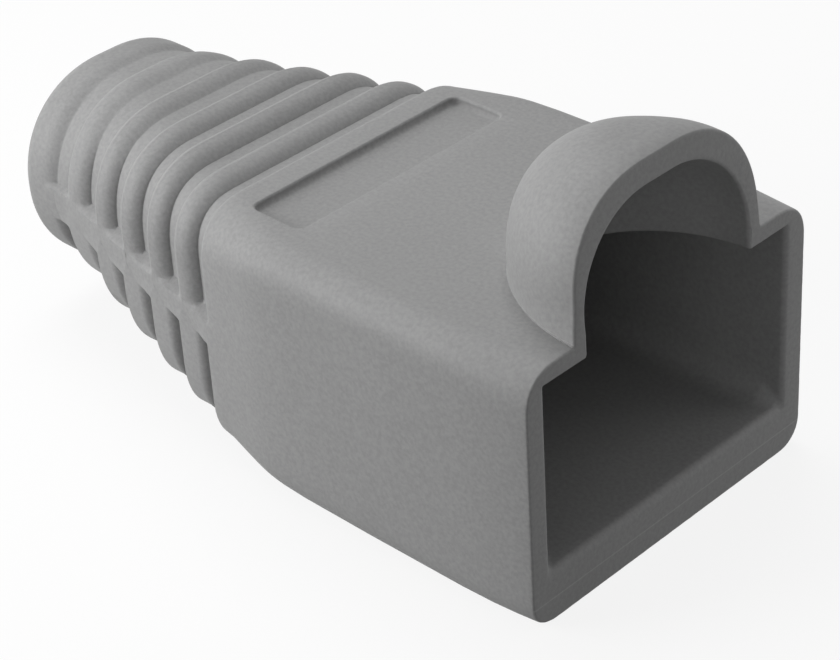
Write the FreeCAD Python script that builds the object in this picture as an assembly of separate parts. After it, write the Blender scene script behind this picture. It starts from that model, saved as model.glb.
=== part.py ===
"""RJ45 strain relief boot: one soft moulding that slips over the back of a modular plug.

The frame has +X out of the mouth, +Z up and the flat underside on z = 0. The moulding is
symmetric about y = 0, and x = 0 is half way along it. A "depth" below is the distance back
from the mouth face. Everything is in millimetres.
"""
import math
import os

import FreeCAD
import Part

# Cavity for the plug
cavity_width = 11.8
cavity_height = 6.9
cavity_depth = 12.5
cavity_corner_radius = 0.4
mouth_edge_chamfer = 0.2

# Housing, the box around the cavity
side_wall = 1.075
top_wall = 0.85
floor_thickness = 2.0
housing_edge_radius = 1.0
straight_length = 12.05
housing_length = 14.95
front_edge_chamfer = 0.15
rear_edge_chamfer = 0.25

# Hood over the plug's latch
hood_width = 9.05
hood_rise = 4.6
hood_length = 5.45
hood_narrowing = 0.575
hood_crown_flat = 0.45
hood_lean = 6.4
hood_side_wall = 0.6
hood_crown_wall = 0.95
hood_back_wall = 0.75
hood_root = 0.4
hood_rim_chamfer = 0.2

# Thumb recess in the top of the housing
recess_depth = 0.45
recess_length = 2.35
recess_width = 9.6
recess_corner_radius = 0.5
recess_setback = 11.35

# Ribbed tail
rib_widths = (1.45, 1.17, 1.17, 1.17, 1.3)
rib_edge_radius = 0.5
rib_step = 0.07
groove_width = 0.73
groove_depth_front = 0.85
groove_depth_rear = 0.8
spine_height = 1.45
spine_step = 0.03
tail_width_rear = 8.75
tail_height_rear = 8.0
tail_corner_radius_rear = 3.8
taper_share = 0.88

# Collar at the end of the tail, and the cable bore
collar_length = 1.75
collar_step = 0.05
collar_edge_radius = 0.7
round_steps = 2
bore_diameter = 5.8
bore_height = 5.4
bore_edge_chamfer = 0.3

# Sizes that follow from the ones above
housing_width = cavity_width + 2 * side_wall
housing_height = floor_thickness + cavity_height + top_wall
collar_depth = housing_length + sum(rib_widths) + (len(rib_widths) + 1) * groove_width
overall_length = collar_depth + collar_length
mouth_x = overall_length / 2
overlap = 0.5


def x_at(depth):
    """X of a place that lies this far back from the mouth face."""
    return mouth_x - depth


def section(depth, half_width, bottom, top, radius):
    """Closed wire of a rounded rectangle that stands across X at a depth."""
    x = x_at(depth)
    edges = []
    corners = (
        (half_width - radius, top - radius, 0.0),
        (-half_width + radius, top - radius, 90.0),
        (-half_width + radius, bottom + radius, 180.0),
        (half_width - radius, bottom + radius, 270.0),
    )
    arcs = []
    for y, z, start in corners:
        centre = FreeCAD.Vector(x, y, z)
        points = []
        for turn in (0.0, 45.0, 90.0):
            angle = math.radians(start + turn)
            points.append(centre + FreeCAD.Vector(0, radius * math.cos(angle), radius * math.sin(angle)))
        arcs.append(points)
    for number, points in enumerate(arcs):
        edges.append(Part.Arc(*points).toShape())
        following = arcs[(number + 1) % 4]
        edges.append(Part.makeLine(points[2], following[0]))
    return Part.Wire(edges)


def prism(wire, length):
    """Solid that runs forward along +X from a wire."""
    return Part.Face(wire).extrude(FreeCAD.Vector(length, 0, 0))


def tail_size(depth, inset=0.0):
    """Half width, bottom, top and corner radius of the tapered outside at a depth.

    The sides start to close in at once where the taper begins and then a little faster. The
    top and the underside leave the housing tangent to it and curve in. An inset shrinks the
    section evenly.
    """
    share = (depth - straight_length) / (collar_depth - straight_length)
    side = taper_share * share + (1 - taper_share) * share ** 2
    curve = share ** 2
    rounding = share ** 0.75
    rear_top = bore_height + tail_height_rear / 2
    rear_bottom = bore_height - tail_height_rear / 2
    half_width = housing_width / 2 - (housing_width - tail_width_rear) / 2 * side
    top = housing_height - (housing_height - rear_top) * curve
    bottom = rear_bottom * curve
    radius = housing_edge_radius + (tail_corner_radius_rear - housing_edge_radius) * rounding
    return half_width - inset, bottom + inset, top - inset, radius - inset


def rim_edges(solid, depth):
    """Edges of a solid that lie wholly in the plane across X at a depth."""
    x = x_at(depth)
    found = []
    for edge in solid.Edges:
        box = edge.BoundBox
        if abs(box.XMin - x) < 1e-4 and abs(box.XMax - x) < 1e-4:
            found.append(edge)
    return found


def housing():
    """Straight box with rounded long edges, and behind it the start of the taper."""
    straight = prism(section(straight_length, *tail_size(straight_length)), straight_length)
    straight = straight.makeChamfer(front_edge_chamfer, rim_edges(straight, 0))
    wires = [section(depth, *tail_size(depth)) for depth in (housing_length, straight_length)]
    taper = Part.makeLoft(wires, True, True)
    taper = taper.makeChamfer(rear_edge_chamfer, rim_edges(taper, housing_length))
    return straight.fuse(taper)


def oval_side(half_width, radius, angle, height):
    """Point on the side arc of an oval, at an angle back from where the arc leaves the mouth face."""
    depth = radius * math.sin(angle)
    y = half_width - radius * (1 - math.cos(angle))
    return FreeCAD.Vector(x_at(depth), y, height)


def dome(half_width, crown, length, root):
    """Half dome on an oval plan, with upright walls, a round shoulder and a flat front.

    The oval has one arc at the back and one on each side. The side arcs leave the mouth face
    square to it and run smoothly into the back arc.
    """
    back_radius = half_width - hood_narrowing
    centre = length - back_radius
    side_radius = (centre ** 2 + half_width ** 2 - back_radius ** 2) / (2 * hood_narrowing)
    turn = math.asin(centre / (side_radius - back_radius))
    right = [oval_side(half_width, side_radius, turn * share, root) for share in (0.0, 0.5, 1.0)]
    left = [FreeCAD.Vector(point.x, -point.y, root) for point in right]
    back = FreeCAD.Vector(x_at(length), 0, root)
    arcs = [
        Part.Arc(right[0], right[1], right[2]).toShape(),
        Part.Arc(right[2], back, left[2]).toShape(),
        Part.Arc(left[2], left[1], left[0]).toShape(),
    ]
    plan = Part.Wire(arcs + [Part.makeLine(left[0], right[0])])
    block = Part.Face(plan).extrude(FreeCAD.Vector(0, 0, crown - root))
    shoulder = []
    for edge in block.Edges:
        box = edge.BoundBox
        if box.ZMin > (crown + root) / 2 and box.XMin < x_at(hood_narrowing):
            shoulder.append(edge)
    return block.makeFillet(min(back_radius - hood_crown_flat, crown - housing_height), shoulder)


def hood_shell():
    """Outside of the hood, with its foot sunk into the top wall and its front leaning back."""
    shell = dome(hood_width / 2, housing_height + hood_rise, hood_length, housing_height - hood_root)
    height = hood_rise + overlap
    lean = height * math.tan(math.radians(hood_lean))
    wedge = Part.makePolygon([
        FreeCAD.Vector(mouth_x, -hood_width, housing_height),
        FreeCAD.Vector(mouth_x + overlap, -hood_width, housing_height),
        FreeCAD.Vector(mouth_x + overlap, -hood_width, housing_height + height),
        FreeCAD.Vector(mouth_x - lean, -hood_width, housing_height + height),
        FreeCAD.Vector(mouth_x, -hood_width, housing_height),
    ])
    shell = shell.cut(Part.Face(wedge).extrude(FreeCAD.Vector(0, 2 * hood_width, 0)))
    rim = []
    for edge in shell.Edges:
        box = edge.BoundBox
        if box.XMin > mouth_x - lean and box.ZMax > housing_height + overlap:
            rim.append(edge)
    return shell.makeChamfer(hood_rim_chamfer, rim)


def hood_hollow():
    """Room for the latch: the hood's shape less its wall, open down into the plug's cavity."""
    half_width = hood_width / 2 - hood_side_wall
    crown = housing_height + hood_rise - hood_crown_wall
    length = hood_length - hood_back_wall
    root = floor_thickness + cavity_height - overlap
    return dome(half_width, crown, length, root)


def plug_cavity():
    """Straight pocket for the plug, open at the mouth."""
    ceiling = floor_thickness + cavity_height
    wire = section(cavity_depth, cavity_width / 2, floor_thickness, ceiling, cavity_corner_radius)
    return prism(wire, cavity_depth)


def thumb_recess():
    """Shallow rounded rectangle sunk into the top face."""
    height = recess_depth + overlap
    back = x_at(recess_setback + recess_length)
    corner = FreeCAD.Vector(back, -recess_width / 2, housing_height - recess_depth)
    block = Part.makeBox(recess_length, recess_width, height, corner)
    upright = [edge for edge in block.Edges if edge.BoundBox.ZLength > height / 2]
    return block.makeFillet(recess_corner_radius, upright)


def tail_core():
    """Straight-sided body at the bottom of the grooves, from inside the housing into the collar."""
    first = housing_length - overlap
    last = collar_depth + overlap
    rear = section(last, *tail_size(last, groove_depth_rear))
    front = section(first, *tail_size(first, groove_depth_front))
    return Part.makeLoft([rear, front], True, True)


def rib_front(number):
    """Depth of the front of a rib; number 0 is the rib next to the housing."""
    return housing_length + sum(rib_widths[:number]) + (number + 1) * groove_width


def rounded_ring(front, width, size, edge_radius):
    """Ring across X whose two edges are rounded, each by steps round a quarter circle.

    The size gives the half width, bottom, top and corner radius of the ring's crest.
    """
    half_width, bottom, top, radius = size
    wires = []
    for step in range(-round_steps, round_steps + 2):
        turn = math.radians(90 * (step if step <= 0 else step - 1) / round_steps)
        start = front + edge_radius if step <= 0 else front + width - edge_radius
        depth = start + edge_radius * math.sin(turn)
        inset = edge_radius * (1 - math.cos(turn))
        wires.append(section(depth, half_width - inset, bottom + inset, top - inset, radius - inset))
    wires.reverse()
    return Part.makeLoft(wires, True, True)


def rib(number):
    """One ring of the tail with a rounded crest."""
    front = rib_front(number)
    width = rib_widths[number]
    return rounded_ring(front, width, tail_size(front + width / 2, rib_step), rib_edge_radius)


def collar():
    """Rounded end ring, a step larger than the tail that runs into it."""
    size = tail_size(collar_depth, -collar_step)
    return rounded_ring(collar_depth, collar_length, size, collar_edge_radius)


def spine():
    """Flat band on both sides that ties the ribs together, just proud of their crests."""
    low = bore_height - spine_height / 2
    depths = [housing_length]
    for number, width in enumerate(rib_widths):
        depths.append(rib_front(number) + width / 2)
    depths.append(collar_depth + collar_edge_radius)
    left = [FreeCAD.Vector(x_at(depth), tail_size(depth, spine_step)[0], low) for depth in depths]
    left.insert(0, left[0] + FreeCAD.Vector(overlap, 0, 0))
    right = [FreeCAD.Vector(point.x, -point.y, low) for point in reversed(left)]
    outline = Part.makePolygon(left + right + [left[0]])
    return Part.Face(outline).extrude(FreeCAD.Vector(0, 0, spine_height))


def bore_edges(solid, depth):
    """The bore's edges in the plane across X at a depth."""
    return [edge for edge in rim_edges(solid, depth) if abs(edge.BoundBox.YMax - bore_diameter / 2) < 1e-3]


def cable_bore():
    """Round way for the cable from the back of the plug's cavity out of the collar."""
    start = FreeCAD.Vector(x_at(overall_length + overlap), 0, bore_height)
    length = overall_length + overlap - cavity_depth + overlap
    return Part.makeCylinder(bore_diameter / 2, length, start, FreeCAD.Vector(1, 0, 0))


def open_mouth(body):
    """Cut the plug's cavity and chamfer the edge where the plug goes in."""
    body = body.cut(plug_cavity()).removeSplitter()
    lip = []
    for edge in rim_edges(body, 0):
        box = edge.BoundBox
        inside = abs(box.YMin) < housing_width / 2 and abs(box.YMax) < housing_width / 2
        if inside and box.ZMin > floor_thickness / 2 and box.ZMax < housing_height - hood_root / 2:
            lip.append(edge)
    return body.makeChamfer(mouth_edge_chamfer, lip)


def boot():
    """The whole moulding."""
    rings = [rib(number) for number in range(len(rib_widths))]
    outside = housing().multiFuse([hood_shell(), tail_core(), spine(), collar()] + rings)
    body = open_mouth(outside)
    body = body.cut(hood_hollow().multiFuse([cable_bore(), thumb_recess()])).removeSplitter()
    return body.makeChamfer(bore_edge_chamfer, bore_edges(body, overall_length))


def main():
    shape = boot()
    if len(shape.Solids) != 1 or not shape.isValid():
        raise ValueError("the boot is not one sound solid")
    os.makedirs("parts", exist_ok=True)
    shape.Solids[0].exportStep("parts/boot.step")


main()
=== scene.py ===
"""Looks of a strain relief boot: one soft grey moulding on a white studio floor.

The file is laid out as an add-on and is run as a script. All sizes inside the shape functions
are in millimetres, in the part's own frame: +X out of the mouth, +Y to the left when looking
out of the mouth, +Z up, underside on z = 0. A "depth" is the distance back from the mouth face.
"""
from types import SimpleNamespace

import bpy
import numpy as np
from bpy.props import FloatProperty, FloatVectorProperty, PointerProperty
from mathutils import Matrix, Vector


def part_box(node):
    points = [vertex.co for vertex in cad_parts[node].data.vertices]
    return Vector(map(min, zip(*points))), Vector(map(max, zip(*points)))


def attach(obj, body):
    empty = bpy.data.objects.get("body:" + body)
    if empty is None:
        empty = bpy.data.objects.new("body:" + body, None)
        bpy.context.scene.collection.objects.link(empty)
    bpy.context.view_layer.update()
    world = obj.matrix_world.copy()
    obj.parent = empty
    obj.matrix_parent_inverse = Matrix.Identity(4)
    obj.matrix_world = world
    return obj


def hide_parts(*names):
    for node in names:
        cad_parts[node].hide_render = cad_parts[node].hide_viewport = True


bl_info = {
    "name": "Strain relief boot",
    "version": (1, 0, 0),
    "blender": (4, 5, 0),
    "location": "3D View > Sidebar > Boot",
    "description": "Builds a ribbed strain relief boot, its soft plastic and its studio",
    "category": "Object",
}

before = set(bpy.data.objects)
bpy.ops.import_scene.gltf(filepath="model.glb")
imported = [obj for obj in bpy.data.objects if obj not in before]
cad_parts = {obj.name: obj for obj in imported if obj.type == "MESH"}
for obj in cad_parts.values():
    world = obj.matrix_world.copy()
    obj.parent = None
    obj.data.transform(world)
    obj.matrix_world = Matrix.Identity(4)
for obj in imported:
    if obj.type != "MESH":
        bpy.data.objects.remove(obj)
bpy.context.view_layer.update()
LOW, HIGH = (np.array(corner) * 1000 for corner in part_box("boot"))
MOUTH_X = HIGH[0]

# Columns over half a section's underside, its side band and half its top
UNDER_COLUMNS = 52
SIDE_COLUMNS = 57
TOP_COLUMNS = 58
# Heights between which the columns of the side band keep their level at every depth
SIDE_BAND = (3.4, 7.4)
# Rows round the mouth's outer edge, round its lip, and round an edge of a rib or the collar
MOUTH_ROWS = 7
LIP_ROWS = 7
EDGE_ROWS = 10
# Height of the hood's foot over which its curve to the rim sets in
HOOD_FADE = 1.2
# Lamps: name, place, side and strength. At strength 1 a white card at the aim has the value 1.
LAMPS = (
    ("key", (-0.050, -0.065, 0.031), 0.055, 0.84),
    ("top", (-0.045, 0.03, 0.13), 0.09, 0.50),
    ("front", (0.07, -0.13, 0.022), 0.06, 0.07),
    ("side", (0.045, 0.05, 0.012), 0.03, 0.14),
)
LAMP_AIM = (0.0, 0.0, 0.006)


def length(name, description, millimetres):
    """Length property whose default is given in millimetres."""
    return FloatProperty(
        name=name,
        description=description,
        default=float(millimetres) / 1000,
        min=0.0,
        precision=5,
        unit="LENGTH",
    )


def angle(name, description, degrees):
    """Angle property whose default is given in degrees."""
    return FloatProperty(
        name=name, description=description, default=np.radians(degrees), subtype="ANGLE"
    )


def share(name, description, default, low=0.0):
    """Property for a share of up to 1."""
    return FloatProperty(
        name=name, description=description, default=default, min=low, max=1.0, subtype="FACTOR"
    )


class BootHousingSizes(bpy.types.PropertyGroup):
    """Sizes of the housing, the plug's cavity and the thumb recess."""

    width: length("Width", "Outside width of the housing", HIGH[1] - LOW[1])
    height: length("Height", "Height of the top face over the underside", 9.75)
    edge_radius: length("Edge radius", "Rounding of the four long edges", 1.0)
    mouth_radius: length("Mouth edge radius", "Rounding of the upper edges at the mouth", 1.25)
    straight: length("Straight length", "Depth at which the sides start to close in", 12.05)
    bend: length("Bend", "Softness of the change to the closing sides", 0.8)
    depth: length("Depth", "Depth of the back of the housing", 14.95)
    front_round: length("Front rounding", "Rounding of the mouth's outer edge", 0.07)
    side_draw: length("Side draw", "Distance by which the sides curve in to the mouth", 0.15)
    side_shift: length("Side shift", "Distance by which the mouth leans to the left", 0.08)
    top_draw: length("Top draw", "Distance by which the top curves down to the mouth", 0.08)
    draw_reach: length("Draw reach", "Depth at which the curve to the mouth starts", 3.2)
    edge_wave: length("Edge wave", "Unevenness of the mouth's moulded edges", 0.012)
    under_round: length("Under rounding", "Rounding of that edge at the underside", 0.1)
    rear_round: length("Rear rounding", "Rounding of the back edge of the housing", 0.3)
    cavity_width: length("Cavity width", "Inside width of the plug's cavity", 11.8)
    cavity_height: length("Cavity height", "Inside height of the plug's cavity", 7.1)
    cavity_depth: length("Cavity depth", "Depth of the cavity's back wall", 12.5)
    cavity_low: length("Cavity low radius", "Rounding of the cavity's lower corners", 0.9)
    cavity_high: length("Cavity high radius", "Rounding of the cavity's upper corners", 0.35)
    mouth_corner: length("Mouth corner radius", "Rounding of these corners at the mouth", 0.05)
    floor: length("Floor thickness", "Thickness of the wall under the cavity", 1.95)
    lip_round: length("Lip rounding", "Rounding of the mouth's inner edge at its sides", 0.2)
    floor_round: length("Floor lip rounding", "Rounding of that edge at the floor", 0.3)
    top_round: length("Top lip rounding", "Rounding of that edge at the top", 0.05)
    recess_depth: length("Recess depth", "Depth of the thumb recess", 0.3)
    recess_length: length("Recess length", "Length of the thumb recess along the boot", 2.35)
    recess_width: length("Recess width", "Width of the thumb recess", 9.8)
    recess_radius: length("Recess corner radius", "Rounding of the recess's corners", 0.35)
    recess_shift: length("Recess shift", "Distance of the recess to the right", 0.08)
    recess_setback: length("Recess setback", "Depth at which the recess starts", 11.35)


class BootHoodSizes(bpy.types.PropertyGroup):
    """Sizes of the hood over the plug's latch."""

    width: length("Width", "Outside width of the hood at the mouth", 9.05)
    rise: length("Rise", "Height of the hood over the top face", 4.6)
    reach: length("Length", "Length of the hood from the mouth to its back", 5.45)
    narrowing: length("Narrowing", "Half width at the mouth less the back's radius", 0.575)
    crown_flat: length("Crown flat", "Radius of the back less the shoulder's radius", 0.45)
    inner_flat: length("Inner crown flat", "The same difference inside the hood", 0.02)
    lean: angle("Lean", "Angle by which the hood's open front leans back", 6.4)
    side_wall: length("Side wall", "Thickness of the hood's sides", 0.6)
    crown_wall: length("Crown wall", "Thickness of the hood's crown", 0.95)
    back_wall: length("Back wall", "Thickness of the hood's back", 0.75)
    rim_round: length("Rim rounding", "Rounding of the outer edge of the hood's rim", 0.1)
    inner_round: length("Inner rounding", "Rounding of the inner edge of the rim", 0.12)
    rim_draw: length("Rim draw", "Distance by which the hood curves in to its rim", 0.1)
    rim_shift: length("Rim shift", "Distance by which the rim leans to the left", 0.1)
    draw_reach: length("Draw reach", "Depth at which that curve starts", 2.2)
    foot_round: length("Foot fillet", "Soft fillet between the hood and the top face", 0.03)


class BootTailSizes(bpy.types.PropertyGroup):
    """Sizes of the ribbed tail, its collar and the bore."""

    first_rib: length("First rib", "Width of the rib next to the housing", 1.2)
    rib: length("Rib", "Width of the middle ribs", 1.17)
    last_rib: length("Last rib", "Width of the rib next to the collar", 1.38)
    rib_back: length("Rib back rounding", "Rounding of each rib's edge on the tail's side", 0.42)
    rib_round: length("Rib rounding", "Reach of each rib's soft flank on the mouth's side", 0.8)
    rib_fall: share("Rib fall", "Fall of the soft flank as a share of its reach", 0.72, 0.3)
    rib_steps: FloatVectorProperty(
        name="Rib steps",
        description="Height by which each rib stays under the outline, from the housing back",
        default=(0.00012, 0.00007, 0.00012, 0.00007, 0.00003),
        size=5,
        precision=5,
        unit="LENGTH",
    )
    groove: length("Groove width", "Width of the grooves between the ribs", 0.73)
    groove_side: length("Side groove depth", "Depth of the grooves beside the spine", 0.46)
    groove_top: length("Top groove depth", "Depth of the grooves over the top", 0.38)
    groove_under: length("Under groove depth", "Depth of the grooves under the tail", 0.62)
    groove_rear: length("Rear groove depth", "Depth of the groove beside the collar", 0.2)
    groove_soft: length("Groove softness", "Reach of the change from wall to floor", 0.22)
    low_groove: share(
        "Lower groove share", "Width of a groove under the spine by its width over it", 0.65, 0.3
    )
    spine: length("Spine height", "Height of the band that ties the ribs together", 1.45)
    spine_cut: length("Spine cut", "Height by which upper grooves reach into the spine", 0.68)
    spine_height: length("Spine place", "Height of the spine's middle", 5.33)
    spine_step: length("Spine step", "Height by which the spine stays under the outline", 0.05)
    spine_ramp: length("Spine ramp", "Width of the slope from a groove to the spine", 0.2)
    rear_width: length("Rear width", "Width of the tail where the collar starts", 8.75)
    rear_height: length("Rear height", "Height of the tail where the collar starts", 8.0)
    rear_radius: length("Rear corner radius", "Corner rounding of the tail there", 3.8)
    taper_share: share("Straight share", "Share of the side taper that is straight", 0.88)
    collar: length("Collar length", "Length of the end collar", 1.92)
    collar_step: length("Collar step", "Height of the collar over the outline", 0.05)
    collar_round: length("Collar rounding", "Rounding of the collar's edges", 0.7)
    bore: length("Bore diameter", "Diameter of the way for the cable", 5.8)
    bore_height: length("Bore height", "Height of the bore's axis over the underside", 5.4)
    bore_round: length("Bore rounding", "Rounding of the bore's outer edge", 0.3)


class BootFinish(bpy.types.PropertyGroup):
    """Colour and surface of the soft plastic."""

    colour: FloatVectorProperty(
        name="Colour",
        description="Colour of the moulding",
        default=(0.30, 0.30, 0.30),
        min=0.0,
        max=1.0,
        subtype="COLOR",
    )
    mottle: share("Mottle", "How much the grey varies from place to place", 0.02)
    fleck: share("Fleck", "How much the grey varies from grain to grain", 0.09)
    roughness: share("Roughness", "Mean roughness of the surface", 0.62)
    seam_height: length("Seam height", "Height of the mould's seam across the mouth face", 0.9)
    grain: length("Grain", "Size of the fine texture that the mould leaves", 0.075)


class BootStage(bpy.types.PropertyGroup):
    """Studio around the boot."""

    floor_size: length("Floor size", "Side of the square floor", 900)
    lamps: FloatProperty(
        name="Lamps", description="Strength of all soft lamps together", default=1.0, min=0.0
    )
    fill: FloatProperty(
        name="Fill light", description="Strength of the light from all round", default=0.22, min=0.0
    )
    white: share("White share", "Share of plain white in the floor that the camera sees", 0.86)
    lens: FloatProperty(
        name="Lens",
        description="Focal length of the camera",
        default=111.19,
        min=1.0,
        unit="CAMERA",
    )
    aim: FloatVectorProperty(
        name="Aim",
        description="Point that the camera looks at",
        default=(0.00467, -0.0021566, 0.0053876),
        size=3,
        precision=5,
        unit="LENGTH",
    )
    azimuth: angle("Azimuth", "Turn of the camera from the mouth's front to the right", 44.179)
    elevation: angle("Elevation", "Angle at which the camera looks down", 33.119)
    roll: angle("Roll", "Turn of the camera about its line of sight", -3.662)
    distance: length("Distance", "Distance from the camera to its aim", 86.59)


def millimetres(group):
    """Length properties of a group as plain numbers in millimetres, other numbers as they are."""
    sizes = {}
    for name, prop in group.bl_rna.properties.items():
        if prop.type == "FLOAT" and not prop.is_array:
            sizes[name] = getattr(group, name) * (1000 if prop.unit == "LENGTH" else 1)
    return SimpleNamespace(**sizes)


def soft_minimum(a, b, reach):
    """Smaller of two values, with a rounded change where they come within a reach of each other.

    With h the clipped share 1/2 + (b - a) / (2 reach), it is b + (a - b) h - reach h (1 - h).
    """
    h = np.clip(0.5 + 0.5 * (b - a) / reach, 0.0, 1.0)
    return b + (a - b) * h - reach * h * (1 - h)


def smooth_step(x, low, high):
    """Rises from 0 at low to 1 at high as 3 t^2 - 2 t^3."""
    t = np.clip((x - low) / (high - low), 0.0, 1.0)
    return t * t * (3 - 2 * t)


def quarter(radius, count):
    """Quarter circle: how far it has run and dropped, from 0, 0 to radius, radius."""
    turn = np.linspace(0, np.pi / 2, count)
    return radius * np.sin(turn), radius * (1 - np.cos(turn))


def add_mesh(name, rings, close_rows):
    """Mesh from rings of points, rings[row, column, axis] in millimetres, closed round each ring.

    With close_rows the last ring joins the first one. Otherwise both end rings are folded flat or
    to a point, and merging their equal points closes them. Six times the enclosed volume is the
    sum of a . (b x c) over all triangles, and where it is negative the faces are turned round.
    """
    rows, columns, _ = rings.shape
    row = np.arange(rows if close_rows else rows - 1)[:, None]
    column = np.arange(columns)[None, :]
    after = (row + 1) % rows
    beside = (column + 1) % columns
    corners = [
        row * columns + column,
        row * columns + beside,
        after * columns + beside,
        after * columns + column,
    ]
    faces = np.stack(np.broadcast_arrays(*corners), axis=-1).reshape(-1, 4)
    points, place = np.unique(np.round(rings.reshape(-1, 3), 6), axis=0, return_inverse=True)
    faces = place.reshape(-1)[faces]
    a, b, c, d = (points[faces[:, corner]] for corner in range(4))
    volume = np.einsum("ij,ij->i", a, np.cross(b, c)).sum()
    volume += np.einsum("ij,ij->i", a, np.cross(c, d)).sum()
    if volume < 0:
        faces = faces[:, ::-1]
    triangles = np.concatenate([faces[:, [0, 1, 2]], faces[:, [0, 2, 3]]])
    sound = (triangles != np.roll(triangles, 1, axis=1)).all(axis=1)
    triangles = triangles[sound]
    mesh = bpy.data.meshes.new(name)
    mesh.vertices.add(len(points))
    mesh.vertices.foreach_set("co", (points / 1000).astype(np.float32).ravel())
    mesh.loops.add(3 * len(triangles))
    mesh.loops.foreach_set("vertex_index", triangles.astype(np.int32).ravel())
    mesh.polygons.add(len(triangles))
    mesh.polygons.foreach_set("loop_start", (3 * np.arange(len(triangles))).astype(np.int32))
    mesh.update(calc_edges=True)
    mesh.validate()
    item = bpy.data.objects.new(name, mesh)
    bpy.context.scene.collection.objects.link(item)
    return item


def column_steps():
    """Shares along the three stretches of half a section: underside, side band and top.

    Those of the side band crowd towards the spine's edges, as x + 0.12 sin(2 pi x) over -1 to 1.
    """
    even = np.linspace(-1, 1, SIDE_COLUMNS)
    band = 0.5 + 0.5 * (even + 0.12 * np.sin(2 * np.pi * even))
    return np.linspace(0, 1, UNDER_COLUMNS), band, np.linspace(0, 1, TOP_COLUMNS)


def soft_corner(radius, room):
    """Reach and power of a soft corner that cuts as much off as an arc of the radius does.

    The corner is a superellipse, |u|^n + |v|^n = 1 in shares of its reach. Its reach is 1.2 radii
    but no more than the room. From the arc's cut follows n = -ln 2 / ln(1 - 0.2929 radius / reach).
    """
    reach = np.minimum(1.2 * radius, room)
    return reach, -np.log(2) / np.log(1 - (1 - np.sqrt(0.5)) * radius / reach)


def corner_point(turn, power):
    """Across and up shares and the normal of a superellipse corner in the direction of a turn."""
    across, up = np.cos(turn), np.sin(turn)
    size = (np.abs(across) ** power + np.abs(up) ** power) ** (-1 / power)
    across, up = np.maximum(across * size, 0), np.maximum(up * size, 0)
    slope_across, slope_up = across ** (power - 1), up ** (power - 1)
    slope = np.hypot(slope_across, slope_up)
    return across, up, slope_across / slope, slope_up / slope


def stretch(half_width, top, reach, power, level, part, corner):
    """From a point on the left side at a level to the middle of the top, by a part of the way.

    The way is the upright side, the soft corner and the flat top, one after the other. Without a
    corner the parts run evenly along it. With one, the parts between its two values lie in the
    corner. It gives y, z and the outward normal's y and z.
    """
    start = np.clip((level - (top - reach)) / reach, 0.0, 1.0)
    first = np.arctan2(start, (1 - start ** power) ** (1 / power))
    upright = np.maximum(top - reach - level, 0.0)
    arc = reach * (np.pi / 2 - first)
    flat = half_width - reach
    if corner is None:
        way = part * (upright + arc + flat)
    else:
        low, high = corner
        way = upright * np.clip(part / low, 0, 1)
        way = way + arc * np.clip((part - low) / (high - low), 0, 1)
        way = way + flat * np.clip((part - high) / (1 - high), 0, 1)
    turn = first + np.clip(way - upright, 0.0, arc) / reach
    across, up, ny, nz = corner_point(turn, power)
    y = half_width - reach + reach * across - np.maximum(way - upright - arc, 0.0)
    z = np.where(way < upright, level + way, top - reach + reach * up)
    return y, z, ny, nz


def section(half_width, bottom, top, low_radius, high_radius, corner=None):
    """Rounded rectangles, one per row, as closed rings of y, z and outward normals.

    Half a ring runs from the middle of the underside out and up the left side to the middle of
    the top. Columns in the side band keep their height at every depth.
    """
    under, middle, over = column_steps()
    low, high = SIDE_BAND
    room = np.minimum(half_width, (top - bottom) / 2)
    low_reach, low_power = soft_corner(low_radius, room)
    high_reach, high_power = soft_corner(high_radius, room)
    y1, z1, ny1, nz1 = stretch(
        half_width, -bottom, low_reach, low_power, -low, 1 - under[None, :-1], corner
    )
    level = np.broadcast_to(low + (high - low) * middle[None, :], (len(half_width), len(middle)))
    above = np.clip((level - (top - high_reach)) / high_reach, 0.0, 1.0)
    below = np.clip(((bottom + low_reach) - level) / low_reach, 0.0, 1.0)
    upper = level > (top + bottom) / 2
    rise = np.where(upper, above, below)
    power = np.where(upper, high_power, low_power)
    reach = np.where(upper, high_reach, low_reach)
    side = (1 - rise ** power) ** (1 / power)
    slope_up, slope_across = rise ** (power - 1), side ** (power - 1)
    slope = np.hypot(slope_up, slope_across)
    y2 = half_width - reach + reach * side
    y3, z3, ny3, nz3 = stretch(
        half_width, top, high_reach, high_power, high, over[None, 1:], corner
    )
    y = np.concatenate([y1, y2, y3], axis=1)
    z = np.concatenate([-z1, level, z3], axis=1)
    ny = np.concatenate([ny1, slope_across / slope, ny3], axis=1)
    nz = np.concatenate([-nz1, np.where(upper, 1, -1) * slope_up / slope, nz3], axis=1)
    back = slice(-2, 0, -1)
    return (
        np.concatenate([y, -y[:, back]], axis=1),
        np.concatenate([z, z[:, back]], axis=1),
        np.concatenate([ny, -ny[:, back]], axis=1),
        np.concatenate([nz, nz[:, back]], axis=1),
    )


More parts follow.
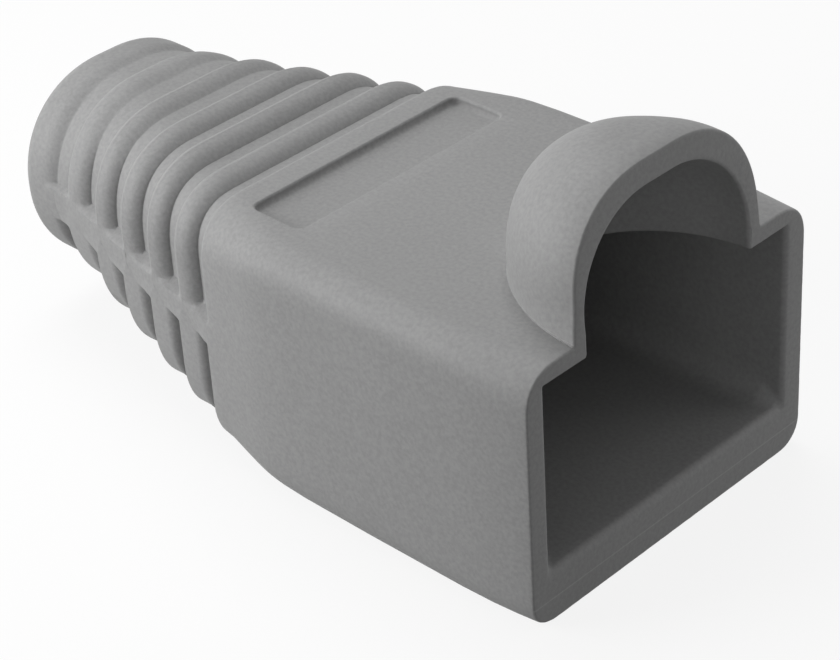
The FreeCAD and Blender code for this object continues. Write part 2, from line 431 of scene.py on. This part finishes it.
def tail_size(depth, housing, tail, collar_depth):
    """Half width, bottom, top and corner radii of the outline at each depth.

    With t the share of the way from the end of the straight housing to the collar, the sides
    close in by k t + (1 - k) t^2, top and underside by t^2, and the corners round by t^(3/4).
    The collar keeps the outline that it starts with. Near the mouth the sides and the top curve
    in by the square of the share of the draw's reach, and the upper corners widen.
    """
    bend_start = -4.0
    mouth_reach = 4.0
    past = depth - housing.straight
    past = 0.5 * (past + np.hypot(past, housing.bend)) * smooth_step(past, bend_start, 0.0)
    t = np.clip(past / (collar_depth - housing.straight), 0.0, 1.0)
    side = tail.taper_share * t + (1 - tail.taper_share) * t ** 2
    draw = np.clip(1 - depth / housing.draw_reach, 0.0, 1.0) ** 2
    half_width = housing.width / 2 - (housing.width - tail.rear_width) / 2 * side
    half_width = half_width - housing.side_draw * draw
    bottom = (tail.bore_height - tail.rear_height / 2) * t ** 2
    top = housing.height - (housing.height - tail.bore_height - tail.rear_height / 2) * t ** 2
    top = top - housing.top_draw * draw
    radius = housing.edge_radius + (tail.rear_radius - housing.edge_radius) * t ** 0.75
    wider = housing.mouth_radius - housing.edge_radius
    mouth = wider * (1 - smooth_step(depth, 0.0, mouth_reach))
    return tuple(part[:, None] for part in (half_width, bottom, top, radius, radius + mouth))


def groove_rows(front, back, front_round, back_round, fall_share):
    """Depths and drops of the rows over one groove, from one crest to the next.

    The front side is a quarter circle down from the crest and the back side a quarter of an
    ellipse, each followed by a wall with a little draft. The drop keeps growing down the walls,
    and the groove's floor cuts it off later.
    """
    draft = 0.08
    deepest = 9.0
    run, fall = quarter(front_round, EDGE_ROWS)
    drop = np.linspace(0.1, 0.5, 3)
    down_depth = np.concatenate([front - front_round + run, front + draft * drop])
    down_drop = np.concatenate([fall, front_round + drop])
    run, fall = quarter(back_round, EDGE_ROWS)
    up_depth = np.concatenate([back - draft * drop[::-1], (back + back_round - run)[::-1]])
    up_drop = np.concatenate([back_round + drop[::-1], fall[::-1]]) * fall_share
    middle = np.linspace(down_depth[-1], up_depth[0], 5)[1:-1]
    return (
        np.concatenate([down_depth, middle, up_depth]),
        np.concatenate([down_drop, np.full(len(middle), deepest), up_drop]),
    )


def edge_wave(y, z):
    """Unevenness between 0 and 2: three sine waves of different pitch over y and z."""
    waves = np.sin(5 * y + 4 * z) + np.sin(11 * y - 9 * z + 1.0) + np.sin(23 * y + 19 * z + 2.0)
    return 1 + waves / 3


def outside_rows(housing, tail, rib_steps, collar_depth):
    """Depth, drop, groove middle and rib step of each row of the outside, as columns.

    The groove middle is 0 on rows that aren't in a groove.
    """
    plain_start = 0.12
    collar_lift = 0.03
    widths = [tail.first_rib, tail.rib, tail.rib, tail.rib, tail.last_rib]
    turn = np.linspace(0, np.pi / 2, MOUTH_ROWS)
    plain = np.array([0.0, 0.06, 0.14, 0.25, 0.4, 0.6, 0.86, 0.95, 0.98, 1.0])
    taper = np.array([0.03, 0.07, 0.15, 0.3, 0.5, 0.7, 0.88])
    depths = [
        0.02 * turn,
        plain_start + (housing.straight - plain_start) * plain,
        housing.straight + (housing.depth - housing.rear_round - housing.straight) * taper,
    ]
    none = np.zeros(sum(len(part) for part in depths))
    drops, middles, lifts = [none], [none], [none]
    at = housing.depth
    lift = 0.0
    edge = housing.rear_round
    for number in range(len(widths) + 1):
        last = number == len(widths)
        next_lift = collar_lift if last else rib_steps[number]
        next_edge = tail.collar_round if last else tail.rib_round
        depth, drop = groove_rows(at, at + tail.groove, edge, next_edge, tail.rib_fall)
        depths.append(depth)
        drops.append(drop)
        middles.append(np.full(len(depth), at + tail.groove / 2))
        lifts.append(lift + (next_lift - lift) * smooth_step(depth, depth[0], depth[-1]))
        at += tail.groove + (0.0 if last else widths[number])
        lift = next_lift
        edge = tail.rib_back
    run, fall = quarter(tail.collar_round, EDGE_ROWS)
    depths.append(collar_depth + tail.collar - tail.collar_round + run)
    drops.append(fall)
    middles.append(np.zeros(EDGE_ROWS))
    lifts.append(np.full(EDGE_ROWS, lift))
    return (np.concatenate(part)[:, None] for part in (depths, drops, middles, lifts))


def groove_pocket(tail, drop, along, off, below, nz):
    """How far a groove's surface lies under the outline.

    It is the softened smallest of three: the row's own drop, which follows the ribs' rounding and
    the grooves' walls, the groove's floor, and the slope up from the spine's edges. The floor goes
    from its depth at the sides to that over the top or underneath by nz^2.
    """
    slope_round = 0.06
    blend = 0.1
    side_floor = tail.groove_side * (1 - 0.3 * below * smooth_step(along, 0.0, 0.9))
    side_floor = side_floor + (tail.groove_rear - side_floor) * smooth_step(along, 0.75, 1.05)
    top_change = tail.groove_rear * 0.6 - tail.groove_top
    top_floor = tail.groove_top + top_change * smooth_step(along, 0.35, 1.0)
    floor = side_floor + (np.where(nz < 0, tail.groove_under, top_floor) - side_floor) * nz ** 2
    cut = tail.spine_cut * (1 - 0.75 * np.clip(along, 0, 1))
    beside = np.maximum(np.maximum(off + cut, -off) - tail.spine / 2, 0)
    slope = (np.hypot(beside, slope_round) - slope_round) * tail.groove_side / tail.spine_ramp
    pocket = soft_minimum(soft_minimum(drop, floor, tail.groove_soft), slope, blend)
    return np.maximum(pocket, 0.0)


def outside_rings(housing, tail, rib_steps):
    """Outside of the housing, the ribbed tail and the collar, row by row from the mouth face.

    A point is its place on the section's outline, moved in along the section's normal by a drop,
    which is the groove's pocket in a groove and the row's own elsewhere. The rib's own step comes
    on top of it. Under the spine the grooves' rows draw together towards the groove's middle. The
    first rows go round the mouth's outer edge by a quarter circle with a slight wave.
    """
    widths = [tail.first_rib, tail.rib, tail.rib, tail.rib, tail.last_rib]
    collar_depth = housing.depth + sum(widths) + (len(widths) + 1) * tail.groove
    depth, drop, middle, lift = outside_rows(housing, tail, rib_steps, collar_depth)
    grooved = middle > 0
    y, z, ny, nz = section(*tail_size(depth[:, 0], housing, tail, collar_depth))
    off = z - tail.spine_height
    below = smooth_step(-off, 0.0, 0.8)
    narrow = 1 - (1 - tail.low_groove) * below
    place = np.where(grooved, middle + (depth - middle) * narrow, depth)
    along = (depth - housing.depth) / (collar_depth - housing.depth)
    pocket = groove_pocket(tail, drop, along, off, below, nz)
    collar = smooth_step(along, 0.92, 1.02)
    side_lift = tail.spine_step * (smooth_step(along, 0.0, 0.08) * (1 - collar))
    side_lift = side_lift - tail.collar_step * collar
    inset = np.where(grooved, pocket, drop) + side_lift + (lift - side_lift) * nz ** 2
    edge = slice(0, MOUTH_ROWS)
    turn = np.linspace(0, np.pi / 2, MOUTH_ROWS)[:, None]
    under = smooth_step(-nz[edge], 0.1, 0.9)
    rounding = housing.front_round + (housing.under_round - housing.front_round) * under
    place[edge] = rounding * (1 - np.cos(turn))
    wave = edge_wave(y[0], z[0]) * housing.edge_wave * np.linspace(1, 0, MOUTH_ROWS)[:, None]
    inset[edge] = rounding * (1 - np.sin(turn)) + wave
    shift = housing.side_shift * np.clip(1 - depth / housing.draw_reach, 0.0, 1.0) ** 2
    return np.stack([MOUTH_X - place, y - ny * inset + shift, z - nz * inset], axis=-1)


def circle_ring(directions, radius, x, height):
    """Ring of a radius about the bore's axis, each point in its column's direction."""
    across, up = directions.T
    return np.stack([np.full(len(directions), x), radius * across, height + radius * up], axis=-1)


def between(first, last, shares):
    """Rings that lie a share of the way from one ring to another."""
    way = np.asarray(shares)[:, None, None]
    return first[None] + (last - first)[None] * way


def bore_rings(housing, tail, collar_end):
    """Quarter circle into the bore, the straight bore, and a quarter circle out to the cavity."""
    flare_round = 0.15
    axis = tail.bore_height
    bore = tail.bore / 2
    end_x = collar_end[0, 0]
    back_x = MOUTH_X - housing.cavity_depth
    away = collar_end[:, 1:] - np.array([0.0, axis])
    directions = away / np.linalg.norm(away, axis=1, keepdims=True)
    run, fall = quarter(tail.bore_round, 7)
    radii = [bore + tail.bore_round - run]
    places = [end_x + fall]
    way = np.linspace(end_x + tail.bore_round, back_x - flare_round, 12)[1:]
    radii.append(np.full(len(way), bore))
    places.append(way)
    run, fall = quarter(flare_round, 4)
    radii.append(bore + fall[1:])
    places.append(back_x - flare_round + run[1:])
    radii, places = np.concatenate(radii), np.concatenate(places)
    return np.stack([circle_ring(directions, r, x, axis) for r, x in zip(radii, places)])


def cavity_rings(housing):
    """Walls of the cavity from its back corner to the lip, whose rounding varies round the mouth.

    The lip's rounding goes from that of the sides to that of the floor or the top by nz^2, and the
    cavity's corners grow sharper towards the mouth.
    """
    back_corner = 0.3
    sharper_from = 0.9
    corner_parts = (0.25, 0.6)
    run, fall = quarter(back_corner, 6)
    lip_run, lip_fall = quarter(1.0, LIP_ROWS)
    depth = np.concatenate([
        housing.cavity_depth - fall,
        np.linspace(housing.cavity_depth - back_corner, 1.0, 9)[1:],
        np.array([0.85, 0.7, 0.55]),
        np.linspace(0.4, 0.0, LIP_ROWS),
    ])
    ones = np.ones((len(depth), 1))
    near = smooth_step(depth, 0.0, sharper_from)[:, None]
    y, z, ny, nz = section(
        ones * housing.cavity_width / 2,
        ones * housing.floor,
        ones * (housing.floor + housing.cavity_height),
        housing.mouth_corner + (housing.cavity_low - housing.mouth_corner) * near,
        housing.mouth_corner + (housing.cavity_high - housing.mouth_corner) * near,
        corner_parts,
    )
    up = nz[-1]
    lip = housing.lip_round + (housing.floor_round - housing.lip_round) * np.maximum(-up, 0) ** 2
    lip = lip + (housing.top_round - housing.lip_round) * np.maximum(up, 0) ** 2
    grow = np.zeros_like(y)
    grow[:len(run)] = -(back_corner - run)[:, None]
    depth = np.broadcast_to(depth[:, None], y.shape).copy()
    depth[-LIP_ROWS:] = lip[None] * (1 - lip_run)[:, None]
    grow[-LIP_ROWS:] = lip[None] * lip_fall[:, None]
    return np.stack([MOUTH_X - depth, y + ny * grow, z + nz * grow], axis=-1)


def shell_rings(housing, tail, rib_steps):
    """The whole moulding without its hood and thumb recess, as one surface closed both ways.

    It runs over the outside to the collar's end face, back through the bore and the cavity to the
    lip, and across the mouth face to where it began.
    """
    outside = outside_rings(housing, tail, rib_steps)
    bore = bore_rings(housing, tail, outside[-1])
    cavity = cavity_rings(housing)
    end_face = between(outside[-1], bore[0], [0.3, 0.6, 0.85])
    back_wall = between(bore[-1], cavity[0], [0.2, 0.45, 0.7, 0.9])
    mouth_face = between(cavity[-1], outside[0], [0.25, 0.5, 0.75])
    return np.concatenate([outside, end_face, bore, back_wall, cavity, mouth_face])


def oval(half_width, reach, narrowing, shares):
    """Half an oval in plan from the mouth face to its back: depth, y and the outward normal.

    A side arc leaves the mouth face square to it and runs smoothly into the back arc, whose
    radius is the half width less the narrowing. The shares run along the two arcs' lengths.
    """
    back = half_width - narrowing
    centre = reach - back
    side = (centre ** 2 + half_width ** 2 - back ** 2) / (2 * narrowing)
    turn = np.arcsin(centre / (side - back))
    first = side * turn
    total = first + back * (np.pi / 2 - turn)
    way = shares * total
    on_side = np.clip(way, 0, first) / side
    on_back = turn + np.clip(way - first, 0, None) / back
    bearing = np.where(way < first, on_side, on_back)
    depth = np.where(way < first, side * np.sin(bearing), centre + back * np.sin(bearing))
    y = np.where(way < first, half_width - side * (1 - np.cos(bearing)), back * np.cos(bearing))
    return depth, y, np.sin(bearing), np.cos(bearing)


def dome_rings(housing, hood, plan, crown, flat, root, foot, rim, ahead=0.0, shift=0.0):
    """Half dome as rings one above the other: the oval, and across the open front in a line.

    The plan is its half width and reach, and the foot is how far each row of its fillet stands
    out and how high it is. The rings rise up the fillet and the upright wall, then over a soft
    shoulder to the flat crown, and end folded on the middle plane. Near the front every point
    moves along the surface's normal by the rim's quarter circle: out where the dome runs ahead of
    the mouth, as the room inside the hood does, and otherwise in, with the draw to the rim added.
    """
    half_width, reach = plan
    stand, foot_level = foot
    top = housing.height
    back = half_width - hood.narrowing
    radius, power = soft_corner(back - flat, back - 0.01)
    near = rim * (1 - np.cos(np.linspace(0, np.pi / 2, 8)))
    near = near / reach * 0.8
    shares = np.concatenate([near, np.linspace(near[-1], 1, 44)[1:]])
    depth, y, nx, ny = oval(half_width, reach, hood.narrowing, shares)
    if ahead > 0:
        depth = np.concatenate([[-ahead], depth])
        y = np.concatenate([[half_width], y])
        nx = np.concatenate([[0.0], nx])
        ny = np.concatenate([[1.0], ny])
    across, up, out, over = corner_point(np.linspace(0, np.pi / 2, 28), power)
    shoulder = crown - radius
    inset = [np.full(2, -stand[0]), -stand, [0.0], radius * (1 - across)]
    level = [[root, root + 0.01], foot_level, [shoulder - 0.2], shoulder + radius * up]
    tilt = [np.zeros(2 + len(stand) + 1), np.arctan2(over, out)]
    inset, level, tilt = (np.concatenate(part)[:, None] for part in (inset, level, tilt))
    edge = np.clip(rim - depth, 0, rim)
    push = np.where(depth < 0, rim, rim - np.sqrt(np.clip(rim ** 2 - edge ** 2, 0, None)))
    if ahead == 0:
        draw = np.clip(1 - depth / hood.draw_reach, 0, 1) ** 2
        push = -push - hood.rim_draw * draw * smooth_step(level, top, top + HOOD_FADE)
    behind = depth - nx * inset + nx * np.cos(tilt) * push
    beside = np.maximum(y - ny * inset, 0) + ny * np.cos(tilt) * push
    z = level + np.sin(tilt) * push
    fold = np.zeros_like(beside[:1])
    behind = np.concatenate([behind[:1], behind, behind[-1:]])
    beside = np.concatenate([fold, beside, fold])
    z = np.concatenate([z[:1], z, z[-1:]])
    lean = np.maximum(z - top, 0) * np.tan(hood.lean)
    fade = np.where(behind < 0, 1.0, np.clip(1 - behind / reach, 0, 1) ** 2)
    left = np.stack([MOUTH_X - (behind + lean * fade), beside, z], axis=-1)
    right = left[:, -2::-1] * np.array([1.0, -1.0, 1.0])
    for half in (left, right):
        near_rim = np.clip(1 - (MOUTH_X - half[..., 0]) / hood.draw_reach, 0, 1) ** 2
        half[..., 1] += shift * near_rim * smooth_step(half[..., 2], top, top + HOOD_FADE)
    way = np.linspace(0, 1, 8)[1:-1][None, :, None]
    front = right[:, -1:] + (left[:, :1] - right[:, -1:]) * way
    return np.concatenate([left, right, front], axis=1)


def hood_outside(housing, hood):
    """Solid hood, with a fillet at its foot that runs out just under the top face."""
    top = housing.height
    run, fall = quarter(hood.foot_round, 7)
    sunk = hood.foot_round * 1.25
    stand = np.concatenate([[sunk, sunk], fall[::-1]])
    level = np.concatenate([[top - 0.2, top - 0.012], (top + hood.foot_round - run)[::-1]])
    return dome_rings(
        housing, hood,
        plan=(hood.width / 2, hood.reach),
        crown=top + hood.rise,
        flat=hood.crown_flat,
        root=top - 0.4,
        foot=(stand, level),
        rim=hood.rim_round,
        shift=hood.rim_shift,
    )


def hood_inside(housing, hood):
    """Room under the hood, run out past the mouth face and down into the cavity."""
    soft = 0.1
    ceiling = housing.floor + housing.cavity_height
    run, fall = quarter(soft, 5)
    stand = np.concatenate([[soft], fall[::-1]])
    level = np.concatenate([[ceiling - 0.2], (ceiling + soft - run)[::-1]])
    return dome_rings(
        housing, hood,
        plan=(hood.width / 2 - hood.side_wall, hood.reach - hood.back_wall),
        crown=housing.height + hood.rise - hood.crown_wall,
        flat=hood.inner_flat,
        root=ceiling - 0.5,
        foot=(stand, level),
        rim=hood.inner_round,
        ahead=0.6,
    )


def recess_rings(housing):
    """Body that cuts the thumb recess: a rounded rectangle with a softened floor and upper edge.

    Its plan is four quarter circles, and each ring is that plan grown along its normals.
    """
    floor_soft = 0.18
    edge_soft = 0.1
    above = 0.3
    half_length = housing.recess_length / 2
    half_width = housing.recess_width / 2
    radius = housing.recess_radius
    turn = np.linspace(0, np.pi / 2, 9)
    normal = np.stack([np.cos(turn), np.sin(turn)], axis=-1)
    centre = np.array([half_length - radius, half_width - radius])
    corner = centre + radius * normal
    flips = [(1, 1, 1), (-1, 1, -1), (-1, -1, 1), (1, -1, -1)]
    plan = np.concatenate([corner[::flip[2]] * np.array(flip[:2]) for flip in flips])
    out = np.concatenate([normal[::flip[2]] * np.array(flip[:2]) for flip in flips])
    floor = housing.height - housing.recess_depth
    run, fall = quarter(floor_soft, 5)
    edge_run, edge_fall = quarter(edge_soft, 5)
    edge = housing.height - edge_soft
    grow = np.concatenate([run - floor_soft, edge_fall, [edge_soft]])
    level = np.concatenate([floor + fall, edge + edge_run, [housing.height + above]])
    rings = plan[None] + out[None] * grow[:, None, None]
    middle = MOUTH_X - housing.recess_setback - half_length
    x = middle + rings[..., 0]
    z = np.broadcast_to(level[:, None], x.shape)
    body = np.stack([x, rings[..., 1] - housing.recess_shift, z], axis=-1)
    ends = (
        np.broadcast_to(np.array([middle, -housing.recess_shift, height]), body[:1].shape)
        for height in (floor, level[-1])
    )
    first, last = ends
    return np.concatenate([first, body, last])


def combine(item, other, operation):
    """Join or cut another closed mesh and drop it."""
    fewest_faces = 1000
    step = item.modifiers.new(operation.title(), "BOOLEAN")
    step.operation = operation
    step.object = other
    step.solver = "MANIFOLD"
    view = bpy.context.evaluated_depsgraph_get()
    mesh = bpy.data.meshes.new_from_object(item.evaluated_get(view))
    item.modifiers.clear()
    old = item.data
    item.data = mesh
    bpy.data.meshes.remove(old)
    spare = other.data
    bpy.data.objects.remove(other)
    bpy.data.meshes.remove(spare)
    if len(item.data.polygons) < fewest_faces:
        raise RuntimeError("joining the moulding's parts left nothing")


def feed(tree, socket, value):
    """Link a socket to another node's output, or set it to a number."""
    if isinstance(value, bpy.types.NodeSocket):
        tree.links.new(value, socket)
    else:
        socket.default_value = value


def math_node(tree, operation, *values):
    """Output of a Math node whose inputs are numbers or other nodes' outputs."""
    node = tree.nodes.new("ShaderNodeMath")
    node.operation = operation
    for socket, value in zip(node.inputs, values):
        feed(tree, socket, value)
    return node.outputs["Value"]


def map_range(tree, value, low, high, start=0.0, end=1.0, interpolation="LINEAR"):
    """Output that goes from low to high while the value goes from start to end."""
    node = tree.nodes.new("ShaderNodeMapRange")
    node.interpolation_type = interpolation
    node.inputs["From Min"].default_value = start
    node.inputs["From Max"].default_value = end
    node.inputs["To Min"].default_value = low
    node.inputs["To Max"].default_value = high
    tree.links.new(value, node.inputs["Value"])
    return node.outputs["Result"]


def noise(tree, place, scale, detail):
    """Output of a Noise texture over a place."""
    node = tree.nodes.new("ShaderNodeTexNoise")
    node.inputs["Scale"].default_value = scale
    node.inputs["Detail"].default_value = detail
    tree.links.new(place, node.inputs["Vector"])
    return node.outputs["Fac"]


def seam_and_highlight_line(tree, place, height):
    """1 on the thin seam that the mould leaves across the mouth face at a height, else 0. It places
    both the seam's real raised bump and the painted highlight on it.
    """
    core, fade, skin = 0.00001, 0.00004, 0.00004
    parts = tree.nodes.new("ShaderNodeSeparateXYZ")
    tree.links.new(place, parts.inputs["Vector"])
    away = math_node(tree, "SUBTRACT", parts.outputs["Z"], height)
    line = map_range(tree, math_node(tree, "ABSOLUTE", away), 1.0, 0.0, core, fade, "SMOOTHSTEP")
    face = math_node(tree, "GREATER_THAN", parts.outputs["X"], MOUTH_X / 1000 - skin)
    return math_node(tree, "MULTIPLY", line, face)


def soft_plastic(finish):
    """Matte grey soft plastic with a fine moulded grain and a faint mottle.

    The colour is scaled by mottle times fleck, plus a share on the seam that is a painted
    highlight, standing in for the light that the raised seam catches. Roughness and bump follow
    the grain's noise, and the seam stands up in the bump.
    """
    cloud_scale = 260.0
    # The seam's paler share is painted highlight, the light that the raised seam catches; its rise
    # is the bump's share.
    painted_seam_highlight, seam_raised = 0.28, 0.6
    rough_spread = 0.08
    material = bpy.data.materials.new("soft_grey_plastic")
    material.use_nodes = True
    tree = material.node_tree
    shader = tree.nodes["Principled BSDF"]
    place = tree.nodes.new("ShaderNodeTexCoord").outputs["Object"]
    cloud = noise(tree, place, cloud_scale, 4.0)
    speck = noise(tree, place, 0.5 / finish.grain, 3.0)
    mottle = map_range(tree, cloud, 1 - finish.mottle, 1 + finish.mottle, 0.3, 0.7)
    fleck = map_range(tree, speck, 1 - finish.fleck, 1 + finish.fleck, 0.3, 0.7)
    seam = seam_and_highlight_line(tree, place, finish.seam_height)
    tone = math_node(tree, "MULTIPLY", mottle, fleck)
    colour = tree.nodes.new("ShaderNodeVectorMath")
    colour.operation = "SCALE"
    colour.inputs[0].default_value = finish.colour
    # Painted highlight: the seam's line is made paler in the colour.
    scale = math_node(tree, "MULTIPLY_ADD", seam, painted_seam_highlight, tone)
    tree.links.new(scale, colour.inputs["Scale"])
    tree.links.new(colour.outputs["Vector"], shader.inputs["Base Color"])
    rough = finish.roughness
    rough = map_range(tree, speck, rough - rough_spread, rough + rough_spread)
    tree.links.new(rough, shader.inputs["Roughness"])
    bump = tree.nodes.new("ShaderNodeBump")
    bump.inputs["Strength"].default_value = 0.25
    bump.inputs["Distance"].default_value = 0.00003
    raised = math_node(tree, "MULTIPLY_ADD", seam, seam_raised, speck)
    tree.links.new(raised, bump.inputs["Height"])
    tree.links.new(bump.outputs["Normal"], shader.inputs["Normal"])
    shader.inputs["Specular IOR Level"].default_value = 0.35
    return material


class BOOT_OT_moulding(bpy.types.Operator):
    """Build the moulding with its hood, cavity, recess, ribs and bore"""

    bl_idname = "boot.moulding"
    bl_label = "Moulding"

    def execute(self, context):
        scene = context.scene
        housing = millimetres(scene.boot_housing)
        hood = millimetres(scene.boot_hood)
        tail = millimetres(scene.boot_tail)
        steps = np.array(scene.boot_tail.rib_steps) * 1000
        boot = add_mesh("boot_moulding", shell_rings(housing, tail, steps), True)
        combine(boot, add_mesh("hood", hood_outside(housing, hood), False), "UNION")
        combine(boot, add_mesh("hood_room", hood_inside(housing, hood), False), "DIFFERENCE")
        combine(boot, add_mesh("recess", recess_rings(housing), False), "DIFFERENCE")
        boot.data.name = "boot_moulding"
        boot.data.shade_smooth()
        boot.data.set_sharp_from_angle(angle=np.radians(32))
        even = boot.modifiers.new("Even shading", "WEIGHTED_NORMAL")
        even.keep_sharp = True
        boot.data.materials.clear()
        boot.data.materials.append(soft_plastic(scene.boot_finish))
        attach(boot, "root")
        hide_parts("boot")
        return {"FINISHED"}


def seen_rays(tree):
    """Output that is 1 for camera, glossy and transmission rays and 0 for the others."""
    path = tree.nodes.new("ShaderNodeLightPath")
    value = path.outputs["Is Camera Ray"]
    for name in ("Is Glossy Ray", "Is Transmission Ray"):
        value = math_node(tree, "MAXIMUM", value, path.outputs[name])
    return value


def white_floor(size, white):
    """Square floor that the camera sees as white, with the boot's soft shadow on it."""
    gap = 0.00002
    unseen_tone, seen_tone = 0.14, 0.95
    half = size / 2
    corners = [(-half, -half, 0), (half, -half, 0), (half, half, 0), (-half, half, 0)]
    mesh = bpy.data.meshes.new("floor")
    mesh.from_pydata(corners, [], [(0, 1, 2, 3)])
    floor = bpy.data.objects.new("floor", mesh)
    floor.location.z = -gap
    bpy.context.scene.collection.objects.link(floor)
    material = bpy.data.materials.new("floor_white")
    material.use_nodes = True
    tree = material.node_tree
    shader = tree.nodes["Principled BSDF"]
    shader.inputs["Roughness"].default_value = 0.9
    shader.inputs["Specular IOR Level"].default_value = 0.0
    paper = tree.nodes.new("ShaderNodeEmission")
    paper.inputs["Strength"].default_value = 1.0
    seen = seen_rays(tree)
    tree.links.new(map_range(tree, seen, unseen_tone, seen_tone), shader.inputs["Base Color"])
    mix = tree.nodes.new("ShaderNodeMixShader")
    tree.links.new(math_node(tree, "MULTIPLY", seen, white), mix.inputs["Fac"])
    tree.links.new(shader.outputs["BSDF"], mix.inputs[1])
    tree.links.new(paper.outputs["Emission"], mix.inputs[2])
    tree.links.new(mix.outputs["Shader"], tree.nodes["Material Output"].inputs["Surface"])
    mesh.materials.append(material)
    return floor


def soft_light(name, place, size, strength):
    """Square area light at a place, turned to the lamps' aim and not seen by the camera."""
    light = bpy.data.lights.new(name, "AREA")
    light.shape = "SQUARE"
    light.size = size
    way = Vector(LAMP_AIM) - Vector(place)
    light.energy = strength * np.pi * np.pi * way.length_squared
    item = bpy.data.objects.new(name, light)
    item.visible_camera = False
    turn = way.to_track_quat("-Z", "Y").to_matrix().to_4x4()
    item.matrix_world = Matrix.Translation(place) @ turn
    bpy.context.scene.collection.objects.link(item)


def studio_world(fill):
    """World that the camera sees as white and that lights the boot by the fill's strength."""
    world = bpy.data.worlds.new("studio")
    world.use_nodes = True
    tree = world.node_tree
    back = tree.nodes["Background"]
    back.inputs["Color"].default_value = (1, 1, 1, 1)
    tree.links.new(map_range(tree, seen_rays(tree), fill, 1.0), back.inputs["Strength"])
    return world


def studio_camera(stage):
    """Camera above the near front corner, rolled a little, with a long lens.

    Its place is the aim plus the distance times cos h cos a, -cos h sin a, sin h, with a the
    azimuth and h the elevation. Its right and up are then turned by the roll.
    """
    data = bpy.data.cameras.new("camera")
    data.sensor_width = 36.0
    data.lens = stage.lens
    data.clip_start = 0.005
    camera = bpy.data.objects.new("camera", data)
    turn, height, roll = stage.azimuth, stage.elevation, stage.roll
    level = np.cos(height)
    away = Vector((level * np.cos(turn), -level * np.sin(turn), np.sin(height)))
    right = (-away).cross(Vector((0, 0, 1))).normalized()
    up = right.cross(-away)
    turned = np.cos(roll) * right + np.sin(roll) * up
    upward = -np.sin(roll) * right + np.cos(roll) * up
    place = Vector(stage.aim) + stage.distance * away
    rows = [(turned[i], upward[i], away[i], place[i]) for i in range(3)]
    camera.matrix_world = Matrix(rows + [(0.0, 0.0, 0.0, 1.0)])
    bpy.context.scene.collection.objects.link(camera)
    return camera


class BOOT_OT_stage(bpy.types.Operator):
    """Build the floor, the soft lights, the world and the camera"""

    bl_idname = "boot.stage"
    bl_label = "Stage"

    def execute(self, context):
        scene = context.scene
        stage = scene.boot_stage
        white_floor(stage.floor_size, stage.white)
        for name, place, size, strength in LAMPS:
            soft_light(name, place, size, strength * stage.lamps)
        scene.world = studio_world(stage.fill)
        bpy.context.scene.camera = studio_camera(stage)
        scene.view_settings.view_transform = "Standard"
        return {"FINISHED"}


class BOOT_PT_panel(bpy.types.Panel):
    """Sizes, finish and stage of the boot"""

    bl_idname = "BOOT_PT_panel"
    bl_label = "Strain relief boot"
    bl_space_type = "VIEW_3D"
    bl_region_type = "UI"
    bl_category = "Boot"

    def draw(self, context):
        for key in GROUPS:
            group = getattr(context.scene, key)
            box = self.layout.box()
            for name in group.__annotations__:
                box.prop(group, name)
        self.layout.operator(BOOT_OT_moulding.bl_idname)
        self.layout.operator(BOOT_OT_stage.bl_idname)


GROUPS = {
    "boot_housing": BootHousingSizes,
    "boot_hood": BootHoodSizes,
    "boot_tail": BootTailSizes,
    "boot_finish": BootFinish,
    "boot_stage": BootStage,
}
CLASSES = (*GROUPS.values(), BOOT_OT_moulding, BOOT_OT_stage, BOOT_PT_panel)


def register():
    """Register the classes and hang the groups of properties on the scene."""
    for item in CLASSES:
        bpy.utils.register_class(item)
    for name, group in GROUPS.items():
        setattr(bpy.types.Scene, name, PointerProperty(type=group))


def unregister():
    """Take the groups of properties and the classes away again."""
    for name in GROUPS:
        delattr(bpy.types.Scene, name)
    for item in reversed(CLASSES):
        bpy.utils.unregister_class(item)


def main():
    """Build the moulding and its stage."""
    register()
    bpy.ops.boot.moulding()
    bpy.ops.boot.stage()


if __name__ == "__main__":
    main()
